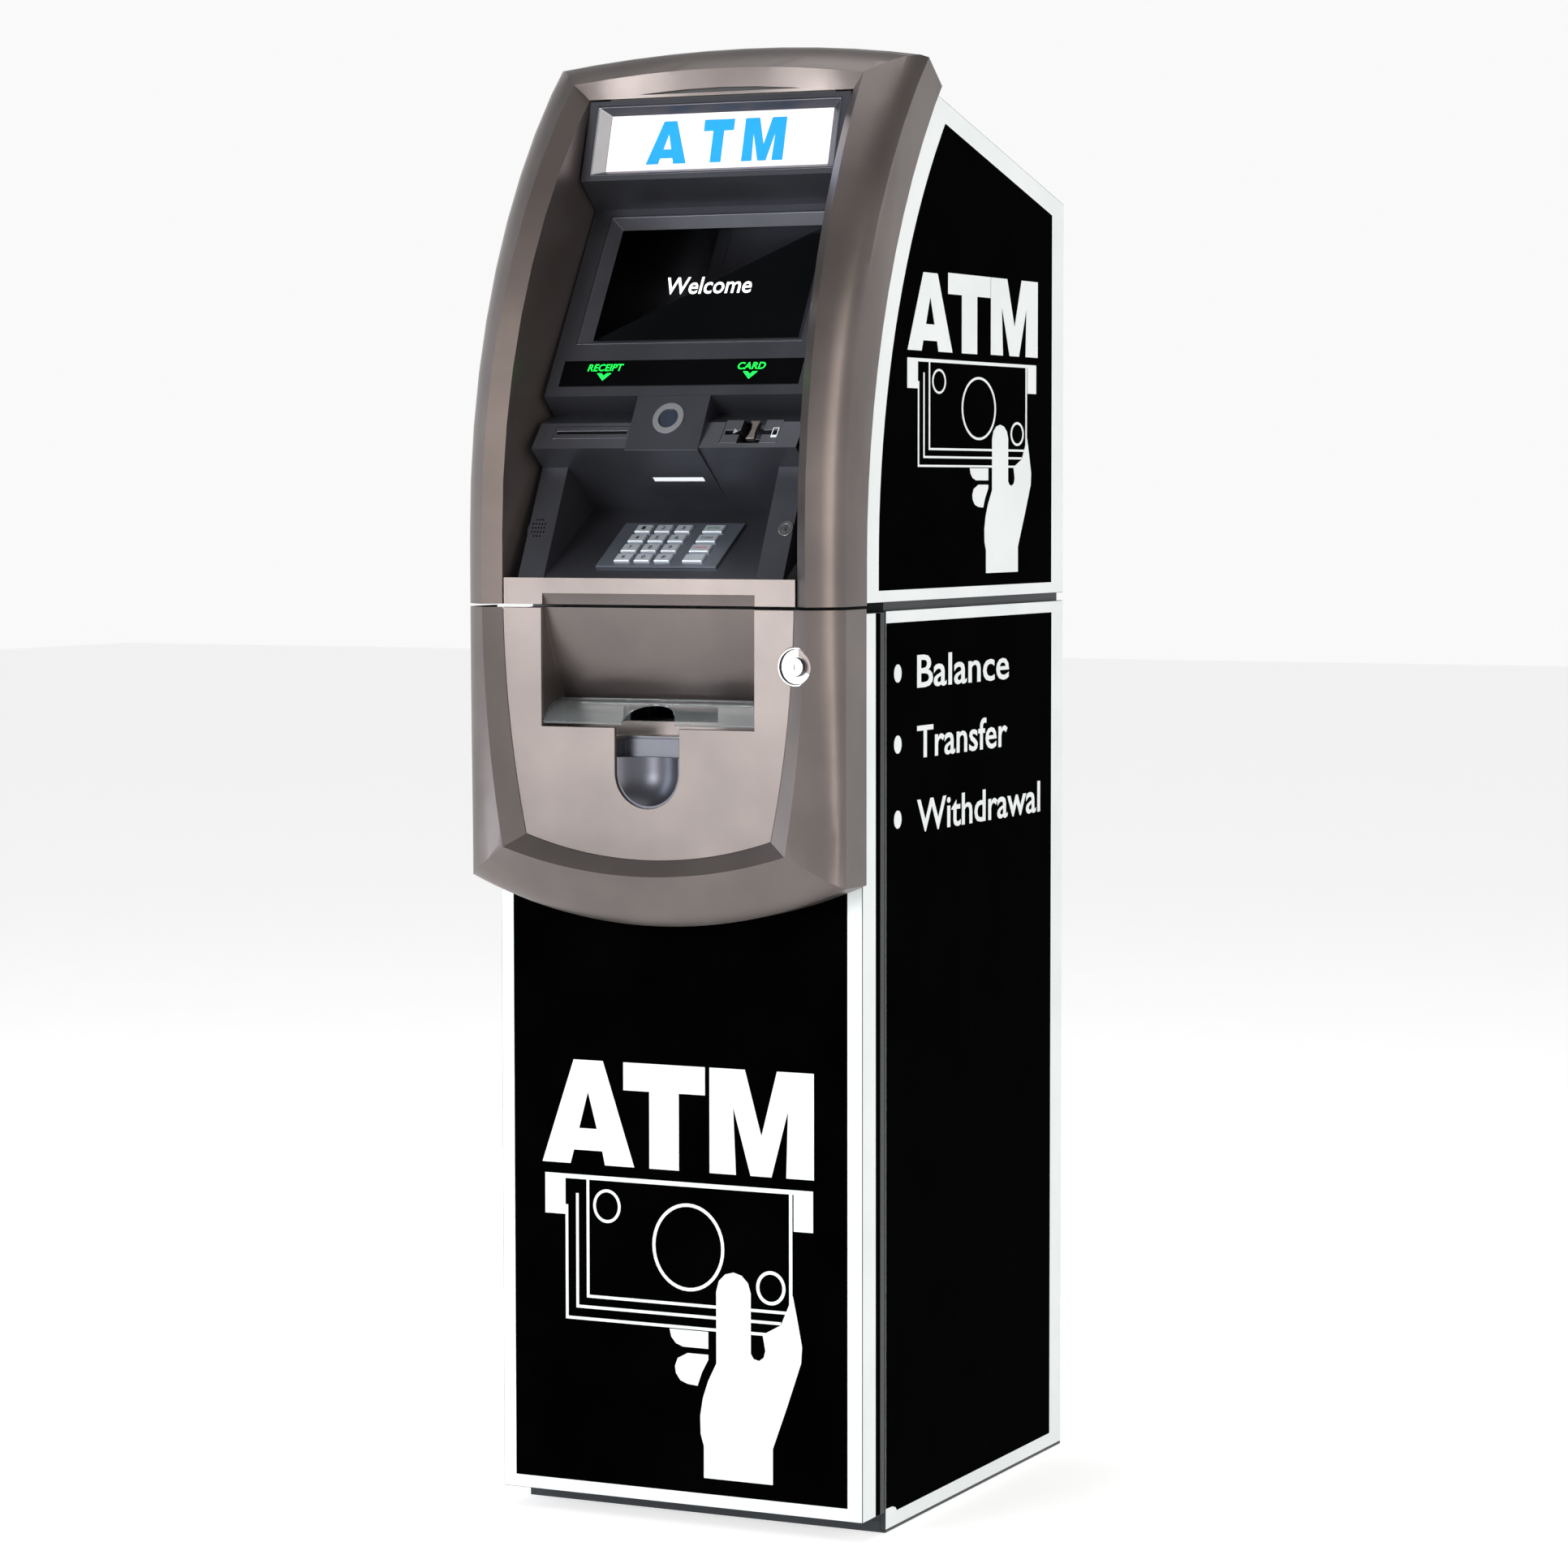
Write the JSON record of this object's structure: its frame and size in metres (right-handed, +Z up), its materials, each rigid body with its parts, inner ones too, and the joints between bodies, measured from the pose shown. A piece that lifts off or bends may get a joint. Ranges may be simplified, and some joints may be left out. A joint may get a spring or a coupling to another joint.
{
  "type": "cash machine",
  "caption": "Free-standing cash machine: tall vault cabinet with a curved fascia, lit sign, screen, keypad, card and receipt mouths and cash tray.",
  "frame": {"origin": "on the floor, at the centre of the four floor-anchor holes", "axes": "+Z up, -Y to the front (the customer's side), +X to the customer's right as they face the machine"},
  "size_m": [0.41, 0.599, 1.4736],
  "materials": {
    "bronze_paint": "satin metallic",
    "panel_grey": "satin",
    "slate_steel": "satin",
    "wrap_black": "gloss",
    "zinc_steel": "satin",
    "galvanised": "satin",
    "sign_white": "satin",
    "screen_black": "gloss",
    "black_plastic": "satin",
    "key_silver": "satin",
    "lock_chrome": "polished",
    "clear_acrylic": "gloss",
    "paper_white": "matte",
    "brass_dial": "satin"
  },
  "bodies": {
    "cabinet": {"base_plate": "slate_steel", "vault_walls": "wrap_black", "vault_frame": "slate_steel", "housing_shell": "wrap_black", "power_inlet": "black_plastic", "control_box": "galvanised", "dispenser_frame": "galvanised", "cabinet_hardware": "zinc_steel"},
    "power_rocker": {"power_rocker": "black_plastic"},
    "feed_shaft": {"feed_shaft": "zinc_steel"},
    "cash_cassette": {"cash_cassette": "black_plastic"},
    "vault_door": {"door_skin": "wrap_black", "door_slab": "slate_steel", "door_lock_works": "zinc_steel", "door_hardware": "zinc_steel"},
    "bolt_bar": {"bolt_bar": "zinc_steel"},
    "door_handle": {"door_handle": "lock_chrome"},
    "combination_dial": {"combination_dial": "lock_chrome"},
    "upper_fascia": {"upper_bezel": "bronze_paint", "centre_panel": "panel_grey", "sign_bezel": "panel_grey", "sign_lens": "sign_white", "screen_bezel": "panel_grey", "screen_glass": "screen_black", "display_module": "galvanised", "indicator_strip": "screen_black", "mouth_block": "panel_grey", "centre_column": "panel_grey", "camera_lens": "black_plastic", "bay_cheeks": "panel_grey", "fascia_lock": "lock_chrome", "receipt_printer": "black_plastic", "card_reader": "black_plastic", "keypad_plate": "key_silver", "fascia_hinge_leaf": "zinc_steel"},
    "fascia_key_plug": {"fascia_key_plug": "lock_chrome"},
    "paper_roll": {"paper_roll": "paper_white"},
    "lower_cover": {"cover_bezel": "bronze_paint", "cover_face": "bronze_paint", "cash_tray": "panel_grey", "cover_lock": "lock_chrome", "cover_hinge_leaf": "zinc_steel"},
    "cash_flap": {"cash_flap": "clear_acrylic"},
    "cover_key_plug": {"cover_key_plug": "lock_chrome"},
    "key_01": {"key_01": "key_silver"},
    "key_02": {"key_02": "key_silver"},
    "key_03": {"key_03": "key_silver"},
    "key_04": {"key_04": "key_silver"},
    "key_05": {"key_05": "key_silver"},
    "key_06": {"key_06": "key_silver"},
    "key_07": {"key_07": "key_silver"},
    "key_08": {"key_08": "key_silver"},
    "key_09": {"key_09": "key_silver"},
    "key_10": {"key_10": "key_silver"},
    "key_11": {"key_11": "key_silver"},
    "key_12": {"key_12": "key_silver"},
    "key_13": {"key_13": "key_silver"},
    "key_14": {"key_14": "key_silver"},
    "key_15": {"key_15": "key_silver"},
    "key_16": {"key_16": "key_silver"}
  },
  "joints": [
    {"name": "fascia_swing", "type": "hinge", "parent": "cabinet", "child": "upper_fascia", "pos_m": [-0.201, -0.2835, 0.969], "axis": [0, 0, -1], "range_deg": [0, 105]},
    {"name": "door_swing", "type": "hinge", "parent": "cabinet", "child": "vault_door", "pos_m": [-0.201, -0.231, 0.5], "axis": [0, 0, -1], "range_deg": [0, 110]},
    {"name": "cover_swing", "type": "hinge", "parent": "vault_door", "child": "lower_cover", "pos_m": [-0.201, -0.2853, 0.73], "axis": [0, 0, -1], "range_deg": [0, 100]},
    {"name": "handle_turn", "type": "hinge", "parent": "vault_door", "child": "door_handle", "pos_m": [0.07, -0.3, 0.73], "axis": [0, 1, 0], "range_deg": [0, 90]},
    {"name": "bolt_slide", "type": "slide", "parent": "vault_door", "child": "bolt_bar", "axis": [1, 0, 0], "range_m": [0, 0.016]},
    {"name": "dial_turn", "type": "hinge", "parent": "vault_door", "child": "combination_dial", "pos_m": [-0.08, -0.295, 0.73], "axis": [0, -1, 0], "continuous": true},
    {"name": "fascia_key_turn", "type": "hinge", "parent": "upper_fascia", "child": "fascia_key_plug", "pos_m": [0.137, -0.32361, 0.99302], "axis": [0, -0.9012, 0.4335], "range_deg": [0, 90]},
    {"name": "cover_key_turn", "type": "hinge", "parent": "lower_cover", "child": "cover_key_plug", "pos_m": [0.1613, -0.352, 0.8612], "axis": [0, -1, 0], "range_deg": [0, 90]},
    {"name": "flap_lift", "type": "hinge", "parent": "lower_cover", "child": "cash_flap", "pos_m": [0, -0.312, 0.823], "axis": [-1, 0, 0], "range_deg": [0, 65]},
    {"name": "rocker_tilt", "type": "hinge", "parent": "cabinet", "child": "power_rocker", "pos_m": [-0.037, 0.23, 0.967], "axis": [1, 0, 0], "range_deg": [-8, 8]},
    {"name": "feed_turn", "type": "hinge", "parent": "cabinet", "child": "feed_shaft", "pos_m": [0, -0.11, 0.827], "axis": [1, 0, 0], "continuous": true},
    {"name": "cassette_slide", "type": "slide", "parent": "cabinet", "child": "cash_cassette", "axis": [0, -1, 0], "range_m": [0, 0.05]},
    {"name": "roll_turn", "type": "hinge", "parent": "upper_fascia", "child": "paper_roll", "pos_m": [-0.084, -0.175, 1.062], "axis": [1, 0, 0], "continuous": true},
    {"name": "key_01_press", "type": "slide", "parent": "upper_fascia", "child": "key_01", "axis": [0, 0.5327, -0.8463], "range_m": [0, 0.0015], "stiffness_N_per_m": 300},
    {"name": "key_02_press", "type": "slide", "parent": "upper_fascia", "child": "key_02", "axis": [0, 0.5327, -0.8463], "range_m": [0, 0.0015], "stiffness_N_per_m": 300},
    {"name": "key_03_press", "type": "slide", "parent": "upper_fascia", "child": "key_03", "axis": [0, 0.5327, -0.8463], "range_m": [0, 0.0015], "stiffness_N_per_m": 300},
    {"name": "key_04_press", "type": "slide", "parent": "upper_fascia", "child": "key_04", "axis": [0, 0.5327, -0.8463], "range_m": [0, 0.0015], "stiffness_N_per_m": 300},
    {"name": "key_05_press", "type": "slide", "parent": "upper_fascia", "child": "key_05", "axis": [0, 0.5327, -0.8463], "range_m": [0, 0.0015], "stiffness_N_per_m": 300},
    {"name": "key_06_press", "type": "slide", "parent": "upper_fascia", "child": "key_06", "axis": [0, 0.5327, -0.8463], "range_m": [0, 0.0015], "stiffness_N_per_m": 300},
    {"name": "key_07_press", "type": "slide", "parent": "upper_fascia", "child": "key_07", "axis": [0, 0.5327, -0.8463], "range_m": [0, 0.0015], "stiffness_N_per_m": 300},
    {"name": "key_08_press", "type": "slide", "parent": "upper_fascia", "child": "key_08", "axis": [0, 0.5327, -0.8463], "range_m": [0, 0.0015], "stiffness_N_per_m": 300},
    {"name": "key_09_press", "type": "slide", "parent": "upper_fascia", "child": "key_09", "axis": [0, 0.5327, -0.8463], "range_m": [0, 0.0015], "stiffness_N_per_m": 300},
    {"name": "key_10_press", "type": "slide", "parent": "upper_fascia", "child": "key_10", "axis": [0, 0.5327, -0.8463], "range_m": [0, 0.0015], "stiffness_N_per_m": 300},
    {"name": "key_11_press", "type": "slide", "parent": "upper_fascia", "child": "key_11", "axis": [0, 0.5327, -0.8463], "range_m": [0, 0.0015], "stiffness_N_per_m": 300},
    {"name": "key_12_press", "type": "slide", "parent": "upper_fascia", "child": "key_12", "axis": [0, 0.5327, -0.8463], "range_m": [0, 0.0015], "stiffness_N_per_m": 300},
    {"name": "key_13_press", "type": "slide", "parent": "upper_fascia", "child": "key_13", "axis": [0, 0.5327, -0.8463], "range_m": [0, 0.0015], "stiffness_N_per_m": 300},
    {"name": "key_14_press", "type": "slide", "parent": "upper_fascia", "child": "key_14", "axis": [0, 0.5327, -0.8463], "range_m": [0, 0.0015], "stiffness_N_per_m": 300},
    {"name": "key_15_press", "type": "slide", "parent": "upper_fascia", "child": "key_15", "axis": [0, 0.5327, -0.8463], "range_m": [0, 0.0015], "stiffness_N_per_m": 300},
    {"name": "key_16_press", "type": "slide", "parent": "upper_fascia", "child": "key_16", "axis": [0, 0.5327, -0.8463], "range_m": [0, 0.0015], "stiffness_N_per_m": 300}
  ],
  "couplings": [
    {"joint": "bolt_slide", "follows": "handle_turn", "m_per_rad": 0.010186}
  ]
}
